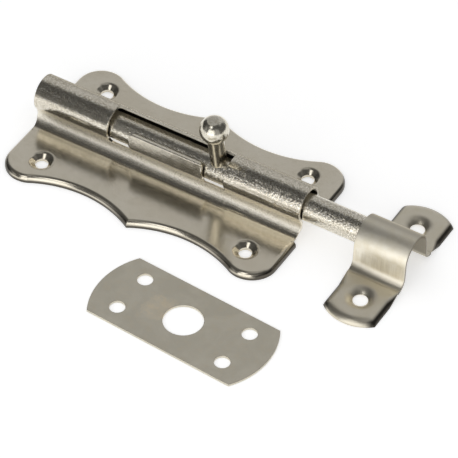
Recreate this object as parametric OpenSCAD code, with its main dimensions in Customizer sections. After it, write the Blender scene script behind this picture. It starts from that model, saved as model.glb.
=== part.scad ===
// Barrel door bolt with its knob, a staple keeper and a spare strike plate.
// Origin: centre of the housing's screw pattern, on the mounting face.
// X runs along the bolt towards the keeper, +Y is the side away from the
// lowered knob, Z points away from the door.

/* [Housing] */
// Length of the pressed housing along the bolt
plate_len = 98.2; // [90:0.2:110]
// Width over the four rounded lobes
plate_w = 57.2; // [54:0.2:64]
// Width at the narrowest part of each scallop
waist_w = 46.6; // [44:0.2:50]
// Corner radius of the lobes
lobe_r = 8.6; // [7:0.1:10]
// Radius of the scallops between the lobes
scallop_r = 38; // [32:0.5:60]
// Height of the plate's flat top above the door
plate_h = 2.4; // [2.2:0.1:3.5]
// Thickness of the pressed sheet
sheet_t = 0.85; // [0.7:0.05:1.1]
// Outer radius of the turned down rim
rim_r = 1.8; // [1.4:0.1:2.2]

/* [Barrel] */
// Outer radius of the rolled barrel
barrel_r = 6.0; // [5.8:0.05:6.5]
// Height of the barrel's axis above the door
barrel_z = 11.6; // [11.2:0.1:12.2]
// Radius of the flare between barrel and plate
flare_r = 3.7; // [3.4:0.05:3.9]
// How far each end of the barrel stands back from the plate's end
barrel_back = 0.4; // [0.2:0.1:2]
// How far the flares' ends are drawn in where they run out onto the plate's rim
flare_trim = 0.9; // [0.6:0.1:1.2]
// Length of the window that the knob travels in
window_len = 42.8; // [38:0.2:56]
// Distance of the window's far edge from the barrel's middle plane
window_far = 2.0; // [2:0.1:3]
// Length of the guide tab between the two locking notches
tab_len = 26.8; // [22:0.2:28]
// Height of the guide tab's upper edge
tab_z = 14.7; // [14.2:0.1:14.9]
// Height of the notches' lower edge
notch_z = 6.8; // [6.6:0.1:7.2]
// Corner radius of the tab and the notches
tab_r = 1.5; // [0.8:0.1:2]

/* [Screw holes] */
// Distance between the housing's screw holes along the bolt
screw_x = 75; // [70:0.5:78]
// Distance between the housing's screw holes across the bolt
screw_y = 38; // [36:0.5:40]
// Radius of the housing's screw holes
screw_r = 2.1; // [1.6:0.05:2.4]
// Radius of the dimple round each screw hole, at the top
dimple_r = 3.9; // [3.2:0.1:4.4]
// Height of the dimples' seat for the screw heads
dimple_seat = 1; // [0.8:0.05:1.3]
// Radius of the soft lip round every dimple, on the keeper too
dimple_lip = 2; // [1:0.1:2.4]

/* [Bolt] */
// Radius of the round bolt bar
bar_r = 4.45; // [4.2:0.05:4.6]
// Length of the bolt bar
bar_len = 110; // [104:0.5:116]
// Play between the bar and the flares that it rests on
bar_play = 0.15; // [0.1:0.05:0.3]
// Chamfer on both ends of the bar
bar_chamfer = 0.6; // [0.3:0.1:1]
// How far the thrown bolt stands out of the housing
bar_out = 31.4; // [28:0.2:34]

/* [Knob] */
// Distance of the knob from the middle of the housing, bolt thrown
knob_x = 16.6; // [16.4:0.1:17.6]
// Radius of the knob's stem
stem_r = 2.65; // [2.2:0.05:2.8]
// Radius of the knob's ball
ball_r = 4.67; // [4:0.05:5]
// Distance of the ball's centre from the bar's axis
ball_out = 19.6; // [18:0.05:20]
// Lean of the raised knob from upright, towards the near side
knob_lean = 10; // [9:0.5:11]
// Running gap between the knob's saddle foot and the bar
saddle_gap = 0.05; // [0.02:0.01:0.08]

/* [Keeper] */
// Gap between the end of the housing and the keeper's strap
keeper_gap = 19.4; // [16:0.2:22]
// Width of the keeper's strap
keeper_w = 18; // [14:0.2:20]
// Length of the keeper over its two rounded feet
keeper_len = 56.5; // [52:0.5:60]
// How far the rounded ends of the feet stand out
keeper_bulge = 3.5; // [2:0.1:4]
// Thickness of the keeper's sheet
keeper_t = 0.9; // [0.7:0.05:1]
// Height of the feet's tops above the door
foot_h = 2.2; // [2:0.1:2.6]
// Outer radius of the feet's turned down rim
foot_rim = 1.6; // [1.3:0.1:1.9]
// Outer radius of the arch's crown
crown_r = 6.9; // [6.2:0.05:7.2]
// Gap between the bar and the crown above it
crown_gap = 0.2; // [0.2:0.05:0.6]
// Slant of the arch's legs from upright
leg_slant = 3; // [1:0.5:8]
// Radius of the bend between leg and foot
foot_bend = 2; // [1.4:0.1:2.6]
// Distance between the keeper's screw holes
keeper_pitch = 35.6; // [34:0.1:38]
// Radius of the keeper's screw holes
keeper_hole_r = 2.35; // [1.8:0.05:2.6]
// Radius of the dimple round each keeper hole, at the top
keeper_dimple_r = 4; // [3.2:0.1:4.4]
// Height of the keeper dimples' seat for the screw heads
keeper_seat = 0.9; // [0.7:0.05:1.2]

/* [Strike plate] */
// Length of the strike plate over its rounded ends
strike_len = 60.4; // [54:0.2:70]
// Width of the strike plate
strike_w = 27; // [24:0.2:32]
// How far the rounded ends stand out
strike_bulge = 4; // [2:0.1:6]
// Thickness of the strike plate
strike_t = 0.8; // [0.6:0.1:2]
// Radius of the hole that takes the bolt
strike_bore_r = 6.3; // [5.2:0.05:6.6]
// Distance between the screw holes along the plate
strike_pitch_x = 38.9; // [34:0.1:44]
// Distance between the screw holes across the plate
strike_pitch_y = 14.2; // [12:0.1:16]
// Radius of the strike plate's screw holes
strike_hole_r = 2.5; // [1.8:0.05:2.8]
// Where the loose plate lies, along the bolt
strike_x = 36.4; // [20:0.2:50]
// Where the loose plate lies, across the bolt
strike_y = -53.2; // [-70:0.2:-48]
// How the loose plate is turned
strike_turn = -4; // [-6:0.5:6]

/* [Hidden] */
$fn = 96;

nickel = [0.66, 0.64, 0.6];
bright = [0.74, 0.73, 0.7];
dull = [0.6, 0.58, 0.53];

// Lobe and scallop cross by this hair, so that they truly meet.
seam = 0.03;

// Centre of a corner lobe, and of the scallop that runs into it.
lobe_cx = plate_len / 2 - lobe_r;
lobe_cy = plate_w / 2 - lobe_r;
scallop_cy = waist_w / 2 + scallop_r;
blend_r = scallop_r + lobe_r - seam;
scallop_cx = lobe_cx - sqrt(pow(blend_r, 2) - pow(scallop_cy - lobe_cy, 2));
cusp_y = scallop_cy - sqrt(pow(scallop_r, 2) - pow(scallop_cx, 2));
blend_x = lobe_cx - lobe_r * (lobe_cx - scallop_cx) / blend_r;

// Section through the barrel: centre of each flare, and where barrel and flare meet.
flare_z = plate_h + flare_r;
flare_y = sqrt(pow(barrel_r + flare_r, 2) - pow(barrel_z - flare_z, 2));
meet_a = atan2(barrel_z - flare_z, flare_y);
// How far the flares' sheet runs on into the plate.
lap = 0.6;

// The bar lies on the inner faces of the two flares.
bar_seat = bar_r + bar_play + flare_r + sheet_t;
bar_z = flare_z + sqrt(pow(bar_seat, 2) - pow(flare_y, 2));
bar_end = plate_len / 2 + bar_out;

// The ball's outer end is turned flat by this much.
ball_flat = 0.4;

// Section through the keeper's arch, and the radius of its rounded ends.
keeper_x = plate_len / 2 + keeper_gap + keeper_w / 2;
crown_z = bar_z + bar_r + crown_gap + keeper_t - crown_r;
leg_top_z = crown_z + crown_r * sin(leg_slant);
bend_z = foot_h + foot_bend;
leg_len = (leg_top_z - bend_z + foot_bend * sin(leg_slant)) / cos(leg_slant);
bend_y = (crown_r + foot_bend) * cos(leg_slant) + leg_len * sin(leg_slant);
foot_end_r = (pow(keeper_w / 2, 2) + pow(keeper_bulge, 2)) / (2 * keeper_bulge);

// The children at the four corners of a rectangle.
module corners(sx, sy) {
    for (x = [-1, 1], y = [-1, 1])
        translate([x * sx / 2, y * sy / 2, 0]) children();
}

// Points on an arc about [cy, cz].
function arc(cy, cz, r, a0, a1, n) =
    [for (k = [0:n]) let (a = a0 + (a1 - a0) * k / n) [cy + r * cos(a), cz + r * sin(a)]];

// Bent sheet between its outer line and its inner line.
module sheet_section(outer, inner) {
    polygon(concat(outer, [for (k = [len(inner) - 1:-1:0]) inner[k]]));
}

// Section of the plate from x = 0 out to the edge at x = w, which turns down to the door.
module rim_section(w, h, r) {
    square([w, h - r]);
    square([w - r, h]);
    translate([w - r, h - r]) intersection() {
        circle(r);
        square(r);
    }
}

// What a scallop takes away: a round cut with the rim's curve left standing outside it.
module scallop_section(cut, h, r) {
    difference() {
        translate([0, -1]) square([cut + r, h + 2]);
        translate([cut, -2]) square([r + 1, h - r + 2]);
        translate([cut + r, h - r]) circle(r);
    }
}

// The scalloped plate as a solid block, drawn in by i on every side but the bottom.
module plate_block(i) {
    h = plate_h - i;
    r = rim_r - i;
    difference() {
        union() {
            corners(2 * lobe_cx, 2 * lobe_cy) rotate_extrude() rim_section(lobe_r - i, h, r);
            for (s = [0, 1]) mirror([s, 0, 0]) translate([lobe_cx, lobe_cy, 0])
                rotate([90, 0, 0]) linear_extrude(2 * lobe_cy) rim_section(lobe_r - i, h, r);
            translate([-lobe_cx, -lobe_cy, 0]) cube([2 * lobe_cx, 2 * lobe_cy, h]);
            translate([-blend_x, -cusp_y - 1, 0]) cube([2 * blend_x, 2 * cusp_y + 2, h]);
        }
        corners(2 * scallop_cx, 2 * scallop_cy)
            rotate_extrude() scallop_section(scallop_r + i, h, r);
    }
}

// Outer line of half the barrel's section, from the plate up the flare to the top, sunk by t.
function barrel_line(t) = concat(
    [[flare_y + lap, plate_h - t]],
    arc(flare_y, flare_z, flare_r + t, 270, 180 - meet_a, 20),
    arc(0, barrel_z, barrel_r - t, -meet_a, 90, 32));

// Rolled barrel and its flares, from one bent sheet, with the flares' ends slanting in
// to meet the plate's turned down rim.
module barrel() {
    difference() {
        for (s = [0, 1]) mirror([0, s, 0]) rotate([90, 0, 90])
            linear_extrude(plate_len - 2 * barrel_back, center = true)
                sheet_section(barrel_line(0), barrel_line(sheet_t));
        for (s = [0, 1]) mirror([s, 0, 0]) translate([plate_len / 2, 0, plate_h])
            rotate([90, 0, 0]) linear_extrude(4 * barrel_r + 4 * flare_r, center = true)
                polygon([[-flare_trim, 0], [0, flare_r], [2, flare_r], [2, -2 * sheet_t], [-flare_trim, -2 * sheet_t]]);
    }
}

// Underside of a pressed dimple, which carries the screw head down to the door.
module dimple(hole, top, h, t, seat) {
    foot = hole + 0.9 * t;
    cylinder(h = h - t, r1 = foot, r2 = foot + (top - hole) * (h - t) / (h - seat));
}

// Hole, cone and soft lip of a dimple, open above height h.
module dimple_cut(hole, top, h, seat) {
    slope = atan2(h - seat, top - hole);
    lip_x = top + dimple_lip * tan(slope / 2);
    translate([0, 0, -1]) cylinder(h = h + 2, r = hole);
    rotate_extrude() polygon(concat(
        [[0, seat], [hole, seat]],
        arc(lip_x, h - dimple_lip, dimple_lip, 90 + slope, 94, 7),
        [[lip_x, h + 1], [0, h + 1]]));
}

// Upright block with rounded vertical edges.
module rounded_block(x0, x1, y0, y1, h, r) {
    hull() for (x = [x0 + r, x1 - r], y = [y0 + r, y1 - r])
        translate([x, y, 0]) cylinder(h = h, r = r, $fn = 32);
}

// Window over the top of the barrel, with a notch at each end of the near side.
module window() {
    half = window_len / 2;
    top = barrel_z + barrel_r + 1;
    translate([0, 0, tab_z])
        rounded_block(-half, half, -barrel_r - 3, window_far, top - tab_z, 1);
    rotate([90, 0, 0]) difference() {
        translate([0, 0, 0.5]) rounded_block(-half, half, notch_z, top, barrel_r + 2, tab_r);
        rounded_block(-tab_len / 2, tab_len / 2, 0, tab_z, barrel_r + 3, tab_r);
    }
}

module housing() {
    color(nickel) difference() {
        union() {
            difference() {
                plate_block(0);
                plate_block(sheet_t);
                translate([-plate_len, -flare_y, -1]) cube([2 * plate_len, 2 * flare_y, plate_h + 2]);
            }
            barrel();
            corners(screw_x, screw_y) dimple(screw_r, dimple_r, plate_h, sheet_t, dimple_seat);
        }
        corners(screw_x, screw_y) dimple_cut(screw_r, dimple_r, plate_h, dimple_seat);
        window();
    }
}

module bolt_bar() {
    color(bright) translate([bar_end, 0, bar_z]) rotate([0, -90, 0]) {
        cylinder(h = bar_chamfer, r1 = bar_r - bar_chamfer, r2 = bar_r);
        translate([0, 0, bar_chamfer]) cylinder(h = bar_len - 2 * bar_chamfer, r = bar_r);
        translate([0, 0, bar_len - bar_chamfer])
            cylinder(h = bar_chamfer, r1 = bar_r, r2 = bar_r - bar_chamfer);
    }
}

// Ball on a stem; the foot is hollowed to sit round the bar.
module knob() {
    color(bright) translate([knob_x, 0, bar_z]) rotate([knob_lean, 0, 0]) {
        difference() {
            cylinder(h = ball_out, r = stem_r);
            rotate([0, 90, 0])
                cylinder(h = 4 * stem_r, r = bar_r + saddle_gap, center = true);
        }
        difference() {
            translate([0, 0, ball_out]) sphere(ball_r);
            translate([-ball_r, -ball_r, ball_out + ball_r - ball_flat]) cube(2 * ball_r);
        }
    }
}

// Rounded end of a strap of width w that stands out by b, from the line y = 0.
module end_arc(w, b) {
    r = (w * w / 4 + b * b) / (2 * b);
    intersection() {
        translate([0, b - r]) circle(r);
        translate([-w / 2, 0]) square([w, b + 1]);
    }
}

// Upper line of half the strap, from the foot over the bend to the top of the crown, lowered by t.
function strap_line(t) = concat(
    arc(bend_y, bend_z, foot_bend + t, 270, 180 + leg_slant, 12),
    arc(0, crown_z, crown_r - t, leg_slant, 90, 16));

// One foot as a solid block from y = start out to its rounded end, drawn in by i on every
// side but the bottom.
module foot_block(i, start) {
    h = foot_h - i;
    r = foot_rim - i;
    w = keeper_w / 2 - i;
    intersection() {
        translate([0, keeper_len, 0]) rotate([90, 0, 0]) linear_extrude(keeper_len - start) {
            for (s = [0, 1]) mirror([s, 0]) rim_section(w, h, r);
            translate([-w / 2, 0]) square([w, h]);
        }
        translate([0, keeper_len / 2 - foot_end_r, 0]) rotate_extrude() rim_section(foot_end_r - i, h, r);
    }
}

module keeper() {
    start = bend_y - foot_bend / 2;
    color(nickel) translate([keeper_x, 0, 0])
        for (s = [0, 1]) mirror([0, s, 0]) difference() {
            union() {
                rotate([90, 0, 90]) linear_extrude(keeper_w, center = true)
                    sheet_section(strap_line(0), strap_line(keeper_t));
                difference() {
                    foot_block(0, start);
                    foot_block(keeper_t, start - 1);
                }
                translate([0, keeper_pitch / 2, 0])
                    dimple(keeper_hole_r, keeper_dimple_r, foot_h, keeper_t, keeper_seat);
            }
            translate([0, keeper_pitch / 2, 0])
                dimple_cut(keeper_hole_r, keeper_dimple_r, foot_h, keeper_seat);
        }
}

module strike_plate() {
    straight = strike_len - 2 * strike_bulge;
    color(dull) translate([strike_x, strike_y, 0]) rotate([0, 0, strike_turn])
        difference() {
            linear_extrude(strike_t) {
                square([straight, strike_w], center = true);
                for (a = [90, -90]) rotate(a) translate([0, straight / 2])
                    end_arc(strike_w, strike_bulge);
            }
            translate([0, 0, -1]) {
                cylinder(h = strike_t + 2, r = strike_bore_r);
                corners(strike_pitch_x, strike_pitch_y)
                    cylinder(h = strike_t + 2, r = strike_hole_r);
            }
        }
}

housing();
bolt_bar();
knob();
keeper();
strike_plate();
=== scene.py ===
import math

import bmesh
import bpy
from mathutils import Matrix, Vector


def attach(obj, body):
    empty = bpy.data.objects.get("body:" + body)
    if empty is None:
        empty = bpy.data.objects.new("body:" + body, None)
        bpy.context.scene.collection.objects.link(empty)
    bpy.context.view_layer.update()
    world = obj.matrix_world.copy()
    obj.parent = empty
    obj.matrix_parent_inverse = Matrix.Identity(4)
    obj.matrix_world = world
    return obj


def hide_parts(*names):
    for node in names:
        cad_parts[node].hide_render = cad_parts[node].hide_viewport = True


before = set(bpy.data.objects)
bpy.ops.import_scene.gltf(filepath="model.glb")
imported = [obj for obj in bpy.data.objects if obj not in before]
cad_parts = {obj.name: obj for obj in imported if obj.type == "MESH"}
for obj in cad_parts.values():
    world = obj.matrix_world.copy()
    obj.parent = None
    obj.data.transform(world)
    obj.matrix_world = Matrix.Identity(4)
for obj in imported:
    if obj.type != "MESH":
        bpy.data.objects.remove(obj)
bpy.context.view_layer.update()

MM = 0.001

# Camera, fitted to the screw holes and the plate's edges

IMAGE_PX = 458
FOCAL_PX = 3291.3
SENSOR_MM = 36.0
CAM_AZIMUTH = math.radians(30.905)
CAM_ELEVATION = math.radians(44.798)
CAM_ROLL = math.radians(0.667)
CAM_DISTANCE = 1018.94 * MM
CAM_TARGET = Vector((27.4, -12.0, 0.0)) * MM
CLIP_NEAR = 0.05
CLIP_FAR = 20.0


def make_camera():
    """Camera on a sphere round its target, looking at it, with a small roll."""
    cos_turn, sin_turn = math.cos(CAM_AZIMUTH), math.sin(CAM_AZIMUTH)
    cos_rise, sin_rise = math.cos(CAM_ELEVATION), math.sin(CAM_ELEVATION)
    cos_roll, sin_roll = math.cos(CAM_ROLL), math.sin(CAM_ROLL)
    back = Vector((sin_turn * cos_rise, -cos_turn * cos_rise, sin_rise))
    right = Vector((cos_turn, sin_turn, 0.0))
    up = back.cross(right)
    x_axis = right * cos_roll + up * sin_roll
    y_axis = up * cos_roll - right * sin_roll
    data = bpy.data.cameras.new("camera")
    data.sensor_width = SENSOR_MM
    data.lens = FOCAL_PX / IMAGE_PX * SENSOR_MM
    data.clip_start = CLIP_NEAR
    data.clip_end = CLIP_FAR
    camera = bpy.data.objects.new("camera", data)
    bpy.context.scene.collection.objects.link(camera)
    turn = Matrix((x_axis, y_axis, back)).transposed().to_4x4()
    camera.matrix_world = Matrix.Translation(CAM_TARGET + back * CAM_DISTANCE) @ turn
    bpy.context.scene.camera = camera


# Node helpers

MIX_SOCKETS = {"FLOAT": (2, 3, 0), "VECTOR": (4, 5, 1), "RGBA": (6, 7, 2)}


class Nodes:
    """Plain words for the nodes of one tree. A value is a number, a tuple or a socket."""

    def __init__(self, tree):
        self.tree = tree

    def add(self, kind, inputs=None, **props):
        node = self.tree.nodes.new(kind)
        for key, value in props.items():
            setattr(node, key, value)
        for key, value in (inputs or {}).items():
            self.put(node.inputs[key], value)
        return node

    def put(self, socket, value):
        if isinstance(value, bpy.types.NodeSocket):
            self.tree.links.new(value, socket)
        else:
            socket.default_value = value

    def split(self, vector):
        """Outputs X, Y and Z of a vector."""
        return self.add("ShaderNodeSeparateXYZ", {"Vector": vector}).outputs

    def math(self, operation, *values):
        return self.add("ShaderNodeMath", dict(enumerate(values)), operation=operation).outputs[0]

    def vector_math(self, operation, inputs):
        return self.add("ShaderNodeVectorMath", inputs, operation=operation).outputs

    def times(self, *factors):
        product = factors[0]
        for factor in factors[1:]:
            product = self.math("MULTIPLY", product, factor)
        return product

    def plus(self, first, second):
        return self.math("ADD", first, second)

    def minus(self, first, second):
        return self.math("SUBTRACT", first, second)

    def larger(self, first, second):
        return self.math("MAXIMUM", first, second)

    def size(self, value):
        """The value without its sign."""
        return self.math("ABSOLUTE", value)

    def below(self, value, limit):
        return self.math("LESS_THAN", value, limit)

    def above(self, value, limit):
        return self.math("GREATER_THAN", value, limit)

    def noise(self, coords, scale, detail, rough=0.5, distortion=0.0):
        inputs = {"Vector": coords, "Scale": scale, "Detail": detail, "Roughness": rough}
        inputs["Distortion"] = distortion
        return self.add("ShaderNodeTexNoise", inputs).outputs["Fac"]

    def stretch(self, coords, scale):
        return self.add("ShaderNodeMapping", {"Vector": coords, "Scale": scale}).outputs[0]

    def ramp(self, value, start, end, low=0.0, high=1.0, smooth=False):
        """Low up to the start, high from the end on, and a slope between them."""
        inputs = {"Value": value, "From Min": start, "From Max": end, "To Min": low, "To Max": high}
        slope = "SMOOTHSTEP" if smooth else "LINEAR"
        node = self.add("ShaderNodeMapRange", inputs, clamp=True, interpolation_type=slope)
        return node.outputs["Result"]

    def mix(self, share, first, second, kind="RGBA"):
        """The first colour, vector or number where the share is 0, the second where it is 1."""
        first_input, second_input, output = MIX_SOCKETS[kind]
        inputs = {"Factor": share, first_input: first, second_input: second}
        return self.add("ShaderNodeMix", inputs, data_type=kind).outputs[output]

    def paint(self, base, colour, mask, strength=1.0):
        """The base colour, covered with another one where the mask is 1."""
        return self.mix(self.times(mask, strength), base, colour)

    def bump(self, height, depth, strength, normal):
        """Relief of the given depth in metres."""
        inputs = {"Strength": strength, "Distance": depth, "Height": height, "Normal": normal}
        return self.add("ShaderNodeBump", inputs).outputs[0]


def new_material(name):
    """Empty metal, with its node helper, its shader and the object's coordinates."""
    mat = bpy.data.materials.new(name)
    mat.use_nodes = True
    tree = mat.node_tree
    tree.nodes.clear()
    out = tree.nodes.new("ShaderNodeOutputMaterial")
    shader = tree.nodes.new("ShaderNodeBsdfPrincipled")
    tree.links.new(shader.outputs[0], out.inputs[0])
    shader.inputs["Metallic"].default_value = 1.0
    coords = tree.nodes.new("ShaderNodeTexCoord").outputs["Object"]
    return mat, Nodes(tree), shader, coords


def dress(nodes, shader, base, rough, normal):
    """Gives the shader its colour, its roughness and its relief."""
    nodes.put(shader.inputs["Base Color"], base)
    nodes.put(shader.inputs["Roughness"], rough)
    nodes.put(shader.inputs["Normal"], normal)


def linear(value):
    """Linear value, from 0 to 1, of one that shows as 0 to 255 on screen."""
    value /= 255.0
    return value / 12.92 if value <= 0.04045 else ((value + 0.055) / 1.055) ** 2.4


def rgb(red, green, blue):
    """Linear colour from the three values that it shows on screen."""
    return (linear(red), linear(green), linear(blue), 1.0)


def grey(level):
    return (level, level, level, 1.0)


# Colours

# Painted glints: bright and dark points painted into the colour in place of sparkle
PAINTED_GLINT = rgb(250, 246, 236)
PAINTED_DARK_GLINT = rgb(150, 143, 127)
# Painted dark reflection for the low rims, in place of the dark surroundings they would mirror
PAINTED_DARK_REFLECTION = rgb(44, 40, 35)
NO_TINT = rgb(255, 255, 255)
GRAZING_TINT = rgb(188, 184, 176)
SHEET_COOL = rgb(222, 215, 199)
SHEET_WARM = rgb(216, 208, 190)
SHEET_CLOUD = rgb(203, 194, 174)
SHEET_FAR_SIDE_PAINTED_SHADE = rgb(176, 170, 156)
PAINTED_FLARE_SHEEN = rgb(255, 249, 234)
LINING_PAINTED_SHADE = rgb(70, 64, 55)
LINING_PAINTED_LIGHT = rgb(245, 241, 230)
KEEPER_COOL = rgb(251, 245, 229)
KEEPER_WARM = rgb(243, 235, 214)
KEEPER_LINES = rgb(208, 198, 176)
KEEPER_FEET = rgb(198, 190, 172)
KEEPER_CROWN_PAINTED_SHADE = rgb(204, 198, 184)
KEEPER_INSIDE_PAINTED_SHADE = rgb(128, 122, 109)
KEEPER_EDGE_PAINTED_SHADE = rgb(112, 106, 94)
BAR_COOL = rgb(217, 211, 196)
BAR_WARM = rgb(210, 202, 183)
KNOB_COOL = rgb(222, 217, 203)
KNOB_WARM = rgb(214, 207, 189)
STRIKE_COOL = rgb(219, 213, 197)
STRIKE_WARM = rgb(212, 206, 190)
STRIKE_CLOUD = rgb(223, 213, 192)
STRIKE_STAIN = rgb(236, 222, 196)

# Places on the pieces; a pair is the start and the end of a ramp, but for the holes

BARREL_Z = 11.6 * MM
BARREL_HALF = 6.2 * MM
BARREL_LOW = 7.0 * MM
BARREL_FAR_Z = (8.0 * MM, 11.0 * MM)
BARREL_FAR_Y = (1.2 * MM, 3.4 * MM)
LINING_PAINTED_LIGHT_Z = (12.9 * MM, 13.5 * MM)
BENT_Z = (2.5 * MM, 5.0 * MM)
FLARES_LOW = (3.0 * MM, 4.5 * MM)
FLARES_TOP = (9.0 * MM, 7.5 * MM)
GRAZING_Z = (11.0 * MM, 13.0 * MM)
TAB_HALF = 13.05 * MM
TAB_LOW = (7.2 * MM, 8.4 * MM)
TAB_TOP = (14.4 * MM, 14.2 * MM)
TAB_Y = -4.0 * MM
TAB_FRONT_NORMAL = -0.45
TAB_EDGE_NORMAL = 0.5
TAB_NORMAL = (0.0, -0.99, 0.14)
RIM_TOP = (1.25 * MM, 0.75 * MM)
END_RIM_TOP = (2.2 * MM, 1.7 * MM)
END_RIM_LEFT = (-0.15, -0.4)
END_RIM_RIGHT = (0.35, 0.6)
HOUSING_HOLES = (37.5 * MM, 19.0 * MM)
HOUSING_DIMPLE = 6.3 * MM
KEEPER_DIMPLE = 6.2 * MM
DIMPLE_BLUR = 0.5 * MM
LEG_TOP = (12.0 * MM, 8.0 * MM)
CROWN_LOW = (12.0 * MM, 14.0 * MM)
CROWN_NEAR = (-0.5 * MM, 1.5 * MM)
CROWN_FAR = (4.0 * MM, 2.8 * MM)
KEEPER_RIM_TOP = (2.05 * MM, 1.55 * MM)
KEEPER_RIM_SIDE = (6.5 * MM, 8.0 * MM)
KEEPER_RIM_FAR = (0.0, 1.0 * MM)
KEEPER_CUT_NORMAL = (0.6, 0.85)
STAIN_AT = (0.0275, -0.0520, 0.0008)
STAIN_R = (11.5 * MM, 10.0 * MM)
STAIN_RAGGED = 12.0 * MM

# The keeper's shape in mm, degrees and steps

KEEPER_X = 77.5
KEEPER_HALF = 9.0
KEEPER_SHEET = 0.9
CROWN_R = 6.9
CROWN_Z = 9.209
LEG_SLANT = 3.0
BEND_R = 3.0
EDGE_R_TOP = 0.22
EDGE_R_UNDER = 0.15
FOOT_TOP = 2.2
FOOT_END = 28.25
FOOT_END_R = 13.32
FOOT_LIFT = 0.02
ROLL_WIDTH = 3.0
ROLL_DROP = 2.15
ROLL_GROWS = 5.5
LEAST_ROLL = 0.01
HOLE_Y = 17.8
HOLE_R = 2.35
HOLE_SEAT = 0.75
DIMPLE_R = 5.7
SHARP_ANGLE = 40.0
CROWN_STEPS = 24
BEND_STEPS = 16
EDGE_STEPS = 4
FOOT_STEPS = 24
FOOT_END_STEPS = 32
HOLE_RINGS = 12
RIM_RINGS = 20
RIM_CROWDING = 2.2

# Materials

EDGE_SOFTNESS = 0.3 * MM
EDGE_SAMPLES = 6
PAINTED_GLITTER_SCALE = 3400.0
FLAKE_SCALE = 3000.0
PAINTED_DARK_RIM_STRENGTH = 0.88
LEG_LINES = (1.0, 0.04, 0.04)
BAR_LINES = (0.7, 1.0, 1.0)


def soft_edges(nodes):
    """Normal that rounds off sharp sheet edges."""
    return nodes.add("ShaderNodeBevel", {"Radius": EDGE_SOFTNESS}, samples=EDGE_SAMPLES).outputs[0]


def flakes(nodes, coords, tilt, normal):
    """Normal broken into small facets, each leaning its own way by up to about tilt."""
    inputs = {"Vector": coords, "Scale": FLAKE_SCALE}
    cells = nodes.add("ShaderNodeTexVoronoi", inputs, feature="F1").outputs["Color"]
    lean = nodes.vector_math("SUBTRACT", {0: cells, 1: (0.5, 0.5, 0.5)})[0]
    lean = nodes.vector_math("SCALE", {0: lean, "Scale": tilt})[0]
    leaning = nodes.vector_math("ADD", {0: normal, 1: lean})[0]
    return nodes.vector_math("NORMALIZE", {0: leaning})[0]


def painted_glitter(nodes, coords, amount, base):
    """Base colour with fine painted bright and dark glints, standing in for the sparkle of plating on
    rough metal.
    """
    points = nodes.noise(coords, scale=PAINTED_GLITTER_SCALE, detail=1.0)
    bright = nodes.ramp(points, 0.5, 0.68)
    dark = nodes.ramp(points, 0.5, 0.32, high=0.65)
    base = nodes.paint(base, PAINTED_GLINT, bright, amount)
    return nodes.paint(base, PAINTED_DARK_GLINT, dark, amount)


def away_from(nodes, at, normal, axis_z):
    """Above 0 where a surface looks away from a line along X at that height, else below 0."""
    rise = nodes.minus(at["Z"], axis_z)
    return nodes.plus(nodes.times(normal["Y"], at["Y"]), nodes.times(normal["Z"], rise))


def on_tab(nodes, at, normal):
    """1 on the front of the guide tab, 0 elsewhere."""
    inside = nodes.below(nodes.size(at["X"]), TAB_HALF)
    low = nodes.ramp(at["Z"], *TAB_LOW, smooth=True)
    high = nodes.ramp(at["Z"], *TAB_TOP)
    front = nodes.below(normal["Y"], TAB_FRONT_NORMAL)
    not_edge = nodes.below(nodes.size(normal["X"]), TAB_EDGE_NORMAL)
    near = nodes.below(at["Y"], TAB_Y)
    return nodes.times(inside, low, high, front, not_edge, near)


def in_barrel(nodes, at, normal):
    """1 on the barrel's inner side, 0 elsewhere."""
    inward = nodes.below(away_from(nodes, at, normal, BARREL_Z), 0.0)
    near = nodes.below(nodes.size(at["Y"]), BARREL_HALF)
    return nodes.times(inward, near, nodes.above(at["Z"], BARREL_LOW))


def outside_dimples(nodes, at, middle_x, hole, radius):
    """0 inside the dimples round the screw holes, whose centres lie hole[0] to both sides of
    middle_x and hole[1] to both sides of y = 0, and 1 outside them."""
    from_x = nodes.minus(nodes.size(nodes.minus(at["X"], middle_x)), hole[0])
    from_y = nodes.minus(nodes.size(at["Y"]), hole[1])
    away = nodes.math("SQRT", nodes.plus(nodes.times(from_x, from_x), nodes.times(from_y, from_y)))
    return nodes.ramp(away, radius, radius + DIMPLE_BLUR)


def flat_tab(nodes, tab):
    """The guide tab is pressed straight: on it, the sheet's normal turns to TAB_NORMAL."""
    return nodes.mix(tab, soft_edges(nodes), TAB_NORMAL, kind="VECTOR")


def tint_grazing(nodes, shader, height):
    """The high parts of the sheet mirror less where they are seen at a grazing angle."""
    tint = nodes.mix(nodes.ramp(height, *GRAZING_Z), NO_TINT, GRAZING_TINT)
    nodes.put(shader.inputs["Specular Tint"], tint)


def painted_dark_rim(nodes, at, normal):
    """1 on the housing's low rim, which gets a painted dark reflection and starts higher at the two
    ends, and 0 elsewhere.
    """
    left = nodes.ramp(normal["X"], *END_RIM_LEFT)
    right = nodes.ramp(normal["X"], *END_RIM_RIGHT)
    ends = nodes.times(nodes.larger(left, right), nodes.ramp(at["Z"], *END_RIM_TOP))
    rim = nodes.larger(ends, nodes.ramp(at["Z"], *RIM_TOP))
    return nodes.times(rim, outside_dimples(nodes, at, 0.0, HOUSING_HOLES, HOUSING_DIMPLE))


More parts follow.
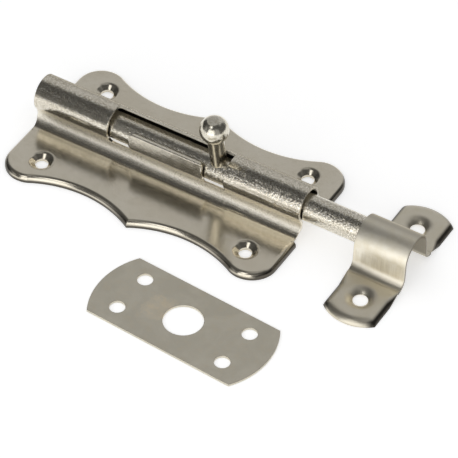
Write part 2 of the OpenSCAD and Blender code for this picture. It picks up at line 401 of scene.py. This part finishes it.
def pressed_sheet():
    """Nickel on the housing's pressed sheet. Grain and painted glints are faint on the flats and
    strong on the barrel and the flares, where the metal was bent. The flares are duller and get a
    painted sheen, the barrel's far side and its inside low down get painted shade, its inside high up
    painted light, and the low rim a painted dark reflection."""
    mat, nodes, shader, coords = new_material("housing_sheet")
    at = nodes.split(coords)
    normal = nodes.split(nodes.add("ShaderNodeNewGeometry").outputs["Normal"])
    height = at["Z"]
    tab = on_tab(nodes, at, normal)
    inner = in_barrel(nodes, at, normal)
    bent = nodes.ramp(height, *BENT_Z, low=0.1)
    bent = nodes.times(bent, nodes.ramp(tab, 0.0, 1.0, low=1.0, high=0.3))
    # Painted shade on the barrel's far upper side, standing in for a dimmer reflection there
    painted_far_shade = nodes.times(nodes.ramp(height, *BARREL_FAR_Z), nodes.ramp(at["Y"], *BARREL_FAR_Y))
    flares = nodes.times(nodes.ramp(height, *FLARES_LOW), nodes.ramp(height, *FLARES_TOP))
    blotch = nodes.noise(coords, scale=60.0, detail=4.0, rough=0.6, distortion=0.4)
    cloud = nodes.noise(coords, scale=420.0, detail=5.0, rough=0.65)
    grain = nodes.noise(coords, scale=1500.0, detail=1.0)
    swell = nodes.noise(coords, scale=260.0, detail=2.0)
    base = nodes.mix(nodes.ramp(blotch, 0.35, 0.65), SHEET_COOL, SHEET_WARM)
    base = nodes.paint(base, SHEET_CLOUD, nodes.ramp(cloud, 0.5, 0.75), strength=0.4)
    base = nodes.paint(base, SHEET_FAR_SIDE_PAINTED_SHADE, painted_far_shade, strength=0.8)
    # Painted sheen: the flares are painted paler so that they reflect brighter
    base = nodes.paint(base, PAINTED_FLARE_SHEEN, flares)
    # Painted glints on the bent metal, in place of its sparkle
    base = painted_glitter(nodes, coords, amount=bent, base=base)
    # Barrel's inner wall: painted shade low down, painted light high up, on sheet of one colour
    painted_lining = nodes.mix(nodes.ramp(height, *LINING_PAINTED_LIGHT_Z), LINING_PAINTED_SHADE, LINING_PAINTED_LIGHT)
    base = nodes.paint(base, painted_lining, inner)
    # Painted dark reflection on the low rim
    base = nodes.paint(base, PAINTED_DARK_REFLECTION, painted_dark_rim(nodes, at, normal), PAINTED_DARK_RIM_STRENGTH)
    rough = nodes.plus(nodes.ramp(cloud, 0.3, 0.75, low=0.15, high=0.23), nodes.times(flares, 0.26))
    rough = nodes.plus(rough, nodes.times(inner, 0.5))
    relief = nodes.bump(swell, depth=0.06 * MM, strength=0.35, normal=flat_tab(nodes, tab))
    relief = nodes.bump(nodes.times(grain, bent), depth=0.028 * MM, strength=1.0, normal=relief)
    relief = flakes(nodes, coords, tilt=nodes.times(bent, 0.075), normal=relief)
    dress(nodes, shader, base, rough, relief)
    tint_grazing(nodes, shader, height)
    return mat


def keeper_painted_dark_rim(nodes, at):
    """1 on the keeper's low rims, which get a painted dark reflection: weaker on the far foot's end, 0
    on the near foot's.
    """
    side = nodes.size(nodes.minus(at["X"], KEEPER_X * MM))
    far_foot = nodes.times(nodes.ramp(at["Y"], *KEEPER_RIM_FAR), 0.6)
    painted_dark = nodes.larger(nodes.ramp(side, *KEEPER_RIM_SIDE), far_foot)
    outside = outside_dimples(nodes, at, KEEPER_X * MM, (0.0, HOLE_Y * MM), KEEPER_DIMPLE)
    return nodes.times(outside, nodes.ramp(at["Z"], *KEEPER_RIM_TOP), painted_dark)


def keeper_sheet():
    """Nickel on the keeper's strap, satin, with drawn lines that run down the legs. The feet are
    darker; the crown, the arch's inside and the edges get painted shade, the low rims a painted dark
    reflection."""
    mat, nodes, shader, coords = new_material("keeper_sheet")
    at = nodes.split(coords)
    normal = nodes.split(nodes.add("ShaderNodeNewGeometry").outputs["Normal"])
    height = at["Z"]
    arch = nodes.ramp(height, *BENT_Z)
    legs = nodes.times(arch, nodes.ramp(height, *LEG_TOP))
    cloud = nodes.noise(coords, scale=350.0, detail=5.0, rough=0.65)
    lines = nodes.noise(nodes.stretch(coords, LEG_LINES), scale=1400.0, detail=3.0, rough=0.6)
    lines = nodes.times(lines, legs)
    grain = nodes.noise(coords, scale=2600.0, detail=2.0, rough=0.6)
    swell = nodes.noise(coords, scale=260.0, detail=2.0)
    far_crown = nodes.times(nodes.ramp(at["Y"], *CROWN_NEAR), nodes.ramp(at["Y"], *CROWN_FAR))
    # Painted shade on the crown, strongest on its far side
    crown = nodes.times(nodes.ramp(height, *CROWN_LOW), nodes.ramp(far_crown, 0.0, 1.0, low=0.35))
    inside = nodes.below(away_from(nodes, at, normal, CROWN_Z * MM), 0.0)
    # Painted shade on surfaces facing along X: the strap's edges and the feet's sides
    painted_edge_shade = nodes.ramp(nodes.size(normal["X"]), *KEEPER_CUT_NORMAL)
    base = nodes.mix(nodes.ramp(cloud, 0.4, 0.65), KEEPER_COOL, KEEPER_WARM)
    base = nodes.paint(base, KEEPER_LINES, nodes.ramp(lines, 0.35, 0.7), strength=0.5)
    base = nodes.paint(base, KEEPER_FEET, nodes.ramp(arch, 1.0, 0.0), strength=0.6)
    base = nodes.paint(base, KEEPER_CROWN_PAINTED_SHADE, crown)
    # Painted shade inside the arch
    base = nodes.paint(base, KEEPER_INSIDE_PAINTED_SHADE, nodes.times(inside, arch), strength=0.85)
    base = nodes.paint(base, KEEPER_EDGE_PAINTED_SHADE, painted_edge_shade, strength=0.7)
    # Painted dark reflection on the keeper's low rims
    base = nodes.paint(base, PAINTED_DARK_REFLECTION, keeper_painted_dark_rim(nodes, at), PAINTED_DARK_RIM_STRENGTH)
    relief = nodes.bump(swell, depth=0.05 * MM, strength=0.3, normal=soft_edges(nodes))
    relief = nodes.bump(lines, depth=0.015 * MM, strength=1.0, normal=relief)
    relief = nodes.bump(grain, depth=0.03 * MM, strength=1.0, normal=relief)
    dress(nodes, shader, base, nodes.ramp(arch, 0.0, 1.0, low=0.33, high=0.46), relief)
    tint_grazing(nodes, shader, height)
    return mat


def turned_bar():
    """Turned bar under bright nickel, with a coarse sparkle drawn out along it, from facets in the
    relief and from glints painted into the colour.
    """
    mat, nodes, shader, coords = new_material("turned_bar")
    along = nodes.stretch(coords, BAR_LINES)
    grain = nodes.noise(along, scale=1500.0, detail=1.0)
    cloud = nodes.noise(along, scale=500.0, detail=4.0, rough=0.6)
    base = nodes.mix(nodes.ramp(cloud, 0.35, 0.65), BAR_COOL, BAR_WARM)
    # Painted glints drawn out along the bar, in place of its sparkle
    base = painted_glitter(nodes, along, amount=1.0, base=base)
    relief = nodes.bump(cloud, depth=0.03 * MM, strength=0.5, normal=soft_edges(nodes))
    relief = nodes.bump(grain, depth=0.035 * MM, strength=1.0, normal=relief)
    relief = flakes(nodes, along, tilt=0.11, normal=relief)
    dress(nodes, shader, base, nodes.ramp(cloud, 0.3, 0.7, low=0.2, high=0.28), relief)
    return mat


def bright_knob():
    """Ball and stem, brighter and smoother than the bar."""
    mat, nodes, shader, coords = new_material("bright_knob")
    cloud = nodes.noise(coords, scale=700.0, detail=4.0, rough=0.6)
    swell = nodes.noise(coords, scale=900.0, detail=2.0)
    base = nodes.mix(nodes.ramp(cloud, 0.4, 0.65), KNOB_COOL, KNOB_WARM)
    # Faint painted glints on the knob, in place of its sparkle
    base = painted_glitter(nodes, coords, amount=0.35, base=base)
    relief = nodes.bump(swell, depth=0.06 * MM, strength=0.6, normal=soft_edges(nodes))
    dress(nodes, shader, base, nodes.ramp(cloud, 0.3, 0.7, low=0.15, high=0.23), relief)
    return mat


def strike_stain(nodes, coords):
    """Ragged pale stain round the strike plate's large hole."""
    away = nodes.vector_math("DISTANCE", {0: coords, 1: STAIN_AT})["Value"]
    tear = nodes.noise(coords, scale=170.0, detail=5.0, rough=0.7)
    fleck = nodes.noise(coords, scale=380.0, detail=3.0, rough=0.6)
    ragged = nodes.plus(away, nodes.times(tear, STAIN_RAGGED))
    return nodes.times(nodes.ramp(ragged, *STAIN_R), nodes.ramp(fleck, 0.4, 0.6, low=0.35))


def dull_strike():
    """Flat blanked plate with dull, stained plating."""
    mat, nodes, shader, coords = new_material("dull_strike")
    blotch = nodes.noise(coords, scale=90.0, detail=5.0, rough=0.6, distortion=0.8)
    cloud = nodes.noise(coords, scale=420.0, detail=4.0, rough=0.6)
    base = nodes.mix(nodes.ramp(blotch, 0.42, 0.6), STRIKE_COOL, STRIKE_WARM)
    base = nodes.paint(base, STRIKE_CLOUD, nodes.ramp(cloud, 0.5, 0.72), strength=0.5)
    base = nodes.paint(base, STRIKE_STAIN, strike_stain(nodes, coords), strength=0.7)
    relief = nodes.bump(cloud, depth=0.02 * MM, strength=0.6, normal=soft_edges(nodes))
    dress(nodes, shader, base, nodes.ramp(cloud, 0.3, 0.7, low=0.36, high=0.46), relief)
    return mat


def dress_cad(node, mat):
    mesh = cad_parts[node].data
    mesh.materials.clear()
    mesh.materials.append(mat)


# Keeper with softly rolled rims


def make_mesh(name, verts, faces):
    """Mesh in metres from points in mm, smooth but for its sharp edges."""
    mesh = bpy.data.meshes.new(name)
    mesh.from_pydata([tuple(value * MM for value in point) for point in verts], [], faces)
    work = bmesh.new()
    work.from_mesh(mesh)
    bmesh.ops.recalc_face_normals(work, faces=work.faces)
    work.to_mesh(mesh)
    work.free()
    mesh.shade_smooth()
    mesh.set_sharp_from_angle(angle=math.radians(SHARP_ANGLE))
    return mesh


def join_rings(faces, first, second, count):
    """Faces between two rings of points, each given by the number of its first point."""
    for here in range(count):
        there = (here + 1) % count
        faces.append((first + here, first + there, second + there, second + here))


def bend_start():
    """Where the foot's flat begins, measured from the middle of the keeper."""
    slant = math.radians(LEG_SLANT)
    leg_top = CROWN_Z + CROWN_R * math.sin(slant)
    leg = (leg_top - FOOT_TOP - BEND_R + BEND_R * math.sin(slant)) / math.cos(slant)
    return (CROWN_R + BEND_R) * math.cos(slant) + leg * math.sin(slant)


def strap_path():
    """Upper line of half the strap as (y, z, normal y, normal z), from the crown to the foot."""
    path = []
    for step in range(CROWN_STEPS + 1):
        angle = math.radians(90 + (LEG_SLANT - 90) * step / CROWN_STEPS)
        cosine, sine = math.cos(angle), math.sin(angle)
        path.append((CROWN_R * cosine, CROWN_Z + CROWN_R * sine, cosine, sine))
    for step in range(BEND_STEPS + 1):
        angle = math.radians(180 + LEG_SLANT + (90 - LEG_SLANT) * step / BEND_STEPS)
        cosine, sine = math.cos(angle), math.sin(angle)
        y, z = bend_start() + BEND_R * cosine, FOOT_TOP + BEND_R + BEND_R * sine
        path.append((y, z, -cosine, -sine))
    return path


def strap_section():
    """Closed section of the strap as (x, depth), with rounded edges."""
    corners = (
        (KEEPER_HALF, 0.0, EDGE_R_TOP),
        (KEEPER_HALF, -KEEPER_SHEET, EDGE_R_UNDER),
        (-KEEPER_HALF, -KEEPER_SHEET, EDGE_R_UNDER),
        (-KEEPER_HALF, 0.0, EDGE_R_TOP),
    )
    points = []
    for quarter, (x, depth, radius) in enumerate(corners):
        middle_x = x - math.copysign(radius, x)
        middle_depth = depth - radius if depth == 0.0 else depth + radius
        for step in range(EDGE_STEPS + 1):
            angle = math.radians(90 - 90 * quarter - 90 * step / EDGE_STEPS)
            points.append((middle_x + radius * math.cos(angle), middle_depth + radius * math.sin(angle)))
    return points


def add_strap(verts, faces):
    """The arch with both its legs and bends."""
    half = strap_path()
    path = [(-y, z, -normal_y, normal_z) for y, z, normal_y, normal_z in reversed(half[1:])] + half
    section = strap_section()
    start, count = len(verts), len(section)
    for y, z, normal_y, normal_z in path:
        verts += [(KEEPER_X + x, y + normal_y * depth, z + normal_z * depth) for x, depth in section]
    for step in range(len(path) - 1):
        first = start + step * count
        join_rings(faces, first, first + count, count)


def roll_drop(distance, width):
    """How far the sheet has rolled down at a distance from its edge."""
    if width < LEAST_ROLL or distance >= width:
        return 0.0
    return ROLL_DROP * width / ROLL_WIDTH * (1 - math.sqrt(max(0.0, 1 - (1 - distance / width) ** 2)))


def foot_height(x, y):
    """Height of the foot's top: flat, rolled down along its sides and its rounded end, and
    pressed down round the screw hole."""
    grown = min(1.0, max(0.0, (y - bend_start()) / ROLL_GROWS))
    side = roll_drop(KEEPER_HALF - abs(x), ROLL_WIDTH * grown)
    end = roll_drop(FOOT_END_R - math.hypot(x, y - (FOOT_END - FOOT_END_R)), ROLL_WIDTH)
    rolled = FOOT_TOP - min(ROLL_DROP, (side ** 3 + end ** 3) ** (1 / 3))
    out = (math.hypot(x, y - HOLE_Y) - HOLE_R) / (DIMPLE_R - HOLE_R)
    return rolled - (FOOT_TOP - HOLE_SEAT) * max(0.0, 1 - out) ** 2


def foot_outline():
    """Outline of a foot, once round, starting at the bend."""
    near_y = bend_start()
    middle_y = FOOT_END - FOOT_END_R
    spread = math.asin(KEEPER_HALF / FOOT_END_R)
    far_y = middle_y + FOOT_END_R * math.cos(spread)
    steps = range(FOOT_STEPS)
    line = [(-KEEPER_HALF + 2 * KEEPER_HALF * step / FOOT_STEPS, near_y) for step in steps]
    line += [(KEEPER_HALF, near_y + (far_y - near_y) * step / FOOT_STEPS) for step in steps]
    for step in range(FOOT_END_STEPS):
        angle = spread * (1 - 2 * step / FOOT_END_STEPS)
        line.append((FOOT_END_R * math.sin(angle), middle_y + FOOT_END_R * math.cos(angle)))
    return line + [(-KEEPER_HALF, far_y + (near_y - far_y) * step / FOOT_STEPS) for step in steps]


def foot_ring(outline, start, end, share):
    """Ring of points on the foot's top, a share of the way from one radius round the screw
    hole to another, or to the outline itself if the other is None."""
    ring = []
    for edge_x, edge_y in outline:
        far = math.hypot(edge_x, edge_y - HOLE_Y)
        radius = start + ((far if end is None else end) - start) * share
        x, y = edge_x * radius / far, HOLE_Y + (edge_y - HOLE_Y) * radius / far
        ring.append(Vector((x, y, foot_height(x, y))))
    return ring


def under_rings(rings):
    """The same rings on the foot's underside, one sheet deeper but above the floor."""
    count, last = len(rings[0]), len(rings) - 1
    lower = []
    for number, ring in enumerate(rings):
        row = []
        for here, point in enumerate(ring):
            outward = rings[min(number + 1, last)][here] - rings[max(number - 1, 0)][here]
            around = ring[(here + 1) % count] - ring[here - 1]
            normal = outward.cross(around).normalized()
            under = point - normal * math.copysign(KEEPER_SHEET, normal.z)
            row.append(Vector((under.x, under.y, max(under.z, FOOT_LIFT))))
        lower.append(row)
    return lower


def add_foot(verts, faces, side):
    """One foot on the side +1 or -1: a bent sheet round a screw hole."""
    outline = foot_outline()
    rings = [foot_ring(outline, HOLE_R, DIMPLE_R, step / HOLE_RINGS) for step in range(HOLE_RINGS)]
    for step in range(RIM_RINGS + 1):
        share = 1 - (1 - step / RIM_RINGS) ** RIM_CROWDING
        rings.append(foot_ring(outline, DIMPLE_R, None, share))
    start, count, levels = len(verts), len(outline), len(rings)
    for ring in rings + under_rings(rings):
        verts += [(KEEPER_X + point.x, side * point.y, point.z) for point in ring]
    for layer in (0, levels):
        for level in range(levels - 1):
            first = start + (layer + level) * count
            join_rings(faces, first, first + count, count)
    for level in (0, levels - 1):
        first = start + level * count
        join_rings(faces, first, first + levels * count, count)


def make_keeper():
    """The keeper with feet whose rims roll down softly from the bend on."""
    verts, faces = [], []
    add_strap(verts, faces)
    add_foot(verts, faces, 1)
    add_foot(verts, faces, -1)
    keeper = bpy.data.objects.new("keeper_rolled", make_mesh("keeper_rolled", verts, faces))
    bpy.context.scene.collection.objects.link(keeper)
    keeper.data.materials.append(keeper_sheet())
    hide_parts("keeper")
    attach(keeper, "base")


# Studio

FLOOR_HALF = 3.0
FLOOR_GLOW = 0.5
FLOOR_ROUGH = 0.9
FLOOR_DARK = grey(0.79)
FLOOR_PALE = grey(0.81)
WHITE = grey(1.0)
DIFFUSE_LEVEL = 0.6
ROOM_LEVEL = 0.085
BACK_LEVEL = 0.53
BACK_Y = (0.08, 0.5)
LOW_FRONT_LEVEL = 0.6
LOW_FRONT_Z = (0.22, 0.02)
LOW_FRONT_Y = (-0.25, -0.6)
SOFTBOX_AT = (0.0725, -0.45, 0.19)
SOFTBOX_AIM = (0.0725, 0.0, 0.19)
SOFTBOX_WIDTH = 0.42
SOFTBOX_HEIGHT = 0.38
SOFTBOX_LEVEL = 1.35

# Parts of the room: direction, degrees round it where full and where gone, and level

ROOM_PARTS = {
    "overhead panel": ((0.10, 0.0, 0.99), 10, 19, 0.34),
    "right front panel": ((0.72, -0.64, 0.28), 18, 34, 0.38),
    "left front panel": ((-0.76, -0.58, 0.28), 12, 24, 0.34),
    "left flag": ((-0.97, -0.10, 0.15), 18, 40, 0.05),
    "right back flag": ((0.80, 0.52, 0.30), 22, 38, 0.1),
    "small high lamp": ((-0.10, -0.56, 0.82), 6, 12, 1.8),
}


def make_floor():
    """White floor with a glow that only camera, glossy and transmission rays see."""
    half = FLOOR_HALF
    corners = [(-half, -half, 0), (half, -half, 0), (half, half, 0), (-half, half, 0)]
    mesh = bpy.data.meshes.new("floor")
    mesh.from_pydata(corners, [], [(0, 1, 2, 3)])
    floor = bpy.data.objects.new("floor", mesh)
    bpy.context.scene.collection.objects.link(floor)
    mat, nodes, shader, coords = new_material("white_floor")
    shader.inputs["Metallic"].default_value = 0.0
    shader.inputs["Roughness"].default_value = FLOOR_ROUGH
    shader.inputs["Emission Color"].default_value = WHITE
    base = nodes.mix(nodes.noise(coords, scale=40.0, detail=2.0), FLOOR_DARK, FLOOR_PALE)
    nodes.put(shader.inputs["Base Color"], base)
    rays = nodes.add("ShaderNodeLightPath").outputs
    seen = nodes.larger(rays["Is Camera Ray"], rays["Is Glossy Ray"])
    seen = nodes.larger(seen, rays["Is Transmission Ray"])
    nodes.put(shader.inputs["Emission Strength"], nodes.times(seen, FLOOR_GLOW))
    mesh.materials.append(mat)


def room_part(nodes, direction, centre, inner, outer):
    """1 within the inner angle of a direction, falling to 0 at the outer angle, in degrees."""
    inputs = {0: direction, 1: tuple(Vector(centre).normalized())}
    near = nodes.vector_math("DOT_PRODUCT", inputs)["Value"]
    gone, full = math.cos(math.radians(outer)), math.cos(math.radians(inner))
    return nodes.ramp(near, gone, full, smooth=True)


def make_world():
    """White to the camera and plain to the floor; metal sees a studio with dark flags."""
    world = bpy.data.worlds.new("studio")
    bpy.context.scene.world = world
    world.use_nodes = True
    world.node_tree.nodes.clear()
    nodes = Nodes(world.node_tree)
    out = nodes.add("ShaderNodeOutputWorld")
    rays = nodes.add("ShaderNodeLightPath").outputs
    direction = nodes.add("ShaderNodeTexCoord").outputs["Generated"]
    toward = nodes.split(direction)
    back_wall = nodes.ramp(toward["Y"], *BACK_Y, smooth=True)
    level = nodes.mix(back_wall, ROOM_LEVEL, BACK_LEVEL, kind="FLOAT")
    low = nodes.ramp(toward["Z"], *LOW_FRONT_Z, smooth=True)
    front = nodes.ramp(toward["Y"], *LOW_FRONT_Y, smooth=True)
    level = nodes.mix(nodes.times(low, front), level, LOW_FRONT_LEVEL, kind="FLOAT")
    for name, (centre, inner, outer, shown) in ROOM_PARTS.items():
        part = room_part(nodes, direction, centre, inner, outer)
        level = nodes.mix(part, level, shown, kind="FLOAT")
        level.node.label = name
    strength = nodes.mix(rays["Is Glossy Ray"], DIFFUSE_LEVEL, level, kind="FLOAT")
    plain = nodes.larger(rays["Is Camera Ray"], rays["Is Transmission Ray"])
    strength = nodes.mix(plain, strength, 1.0, kind="FLOAT")
    back = nodes.add("ShaderNodeBackground", {"Color": WHITE, "Strength": strength})
    nodes.put(out.inputs["Surface"], back.outputs[0])


def make_softbox():
    """Rectangular soft light whose face shows at SOFTBOX_LEVEL."""
    data = bpy.data.lights.new("front_softbox", "AREA")
    data.shape = "RECTANGLE"
    data.size = SOFTBOX_WIDTH
    data.size_y = SOFTBOX_HEIGHT
    data.energy = SOFTBOX_LEVEL * math.pi * SOFTBOX_WIDTH * SOFTBOX_HEIGHT
    lamp = bpy.data.objects.new("front_softbox", data)
    bpy.context.scene.collection.objects.link(lamp)
    lamp.location = SOFTBOX_AT
    aim = Vector(SOFTBOX_AIM) - Vector(SOFTBOX_AT)
    lamp.rotation_euler = aim.to_track_quat("-Z", "Y").to_euler()


make_camera()
make_world()
make_floor()
make_softbox()

dress_cad("housing", pressed_sheet())
make_keeper()
dress_cad("strike_plate", dull_strike())
dress_cad("bolt_bar", turned_bar())
dress_cad("knob", bright_knob())

bpy.context.scene.view_settings.view_transform = "Standard"
